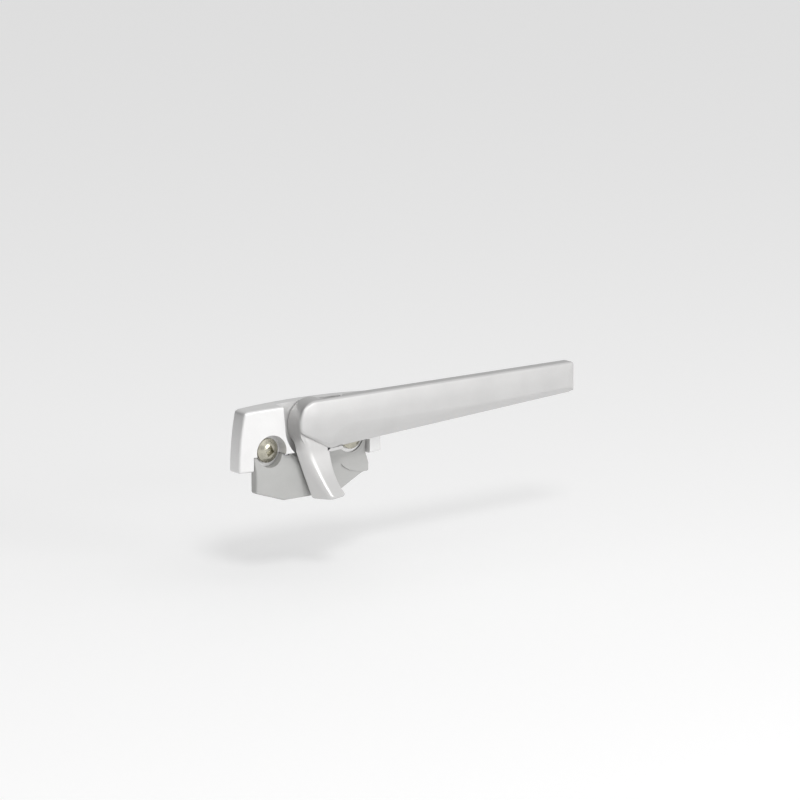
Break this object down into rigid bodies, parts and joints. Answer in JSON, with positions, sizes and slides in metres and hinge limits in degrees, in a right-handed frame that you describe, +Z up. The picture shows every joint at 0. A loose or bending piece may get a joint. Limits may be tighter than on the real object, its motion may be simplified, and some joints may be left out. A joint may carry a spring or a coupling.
{
  "type": "casement sash fastener handle",
  "caption": "Silver window handle: a tapered lever with a downward cam nose turns on a screwed arched base, over a grey nylon apron.",
  "frame": {"origin": "on the back plane of the gasket, on the lever's pivot axis", "axes": "+X along the closed lever towards its tip, +Y into the sash, +Z up the window"},
  "size_m": [0.1414, 0.0285, 0.0347],
  "materials": {
    "silver_paint": "satin silver powder coat",
    "lever_paint": "satin silver powder coat",
    "grey_nylon": "matte moulded",
    "bearing_acetal": "matte moulded",
    "gasket_rubber": "matte",
    "zinc_plate": "bright zinc plated",
    "bright_steel": "turned",
    "yellow_zinc": "pale yellow zinc plated",
    "strip_plastic": "matte moulded"
  },
  "bodies": {
    "base": {"base_gasket": "gasket_rubber", "base_plate": "zinc_plate", "base_cover": "silver_paint", "apron": "grey_nylon", "fixing_screw_left": "yellow_zinc", "fixing_screw_right": "yellow_zinc", "apron_screw_left": "bright_steel", "apron_screw_right": "bright_steel", "spindle": "bright_steel", "thrust_washer": "bearing_acetal", "pivot_bush": "bearing_acetal", "wave_washer": "bright_steel", "clamp_washer": "bright_steel", "clamp_screw": "bright_steel"},
    "handle": {"hub_casting": "silver_paint", "stop_pin": "bright_steel", "grip_shell": "lever_paint", "grip_back_strip": "strip_plastic", "grip_screw_1": "bright_steel", "grip_screw_2": "bright_steel"}
  },
  "joints": [
    {"name": "lever_turn", "type": "hinge", "parent": "base", "child": "handle", "pos_m": [0, 0, 0], "axis": [0, -1, 0], "range_deg": [0, 90]}
  ]
}
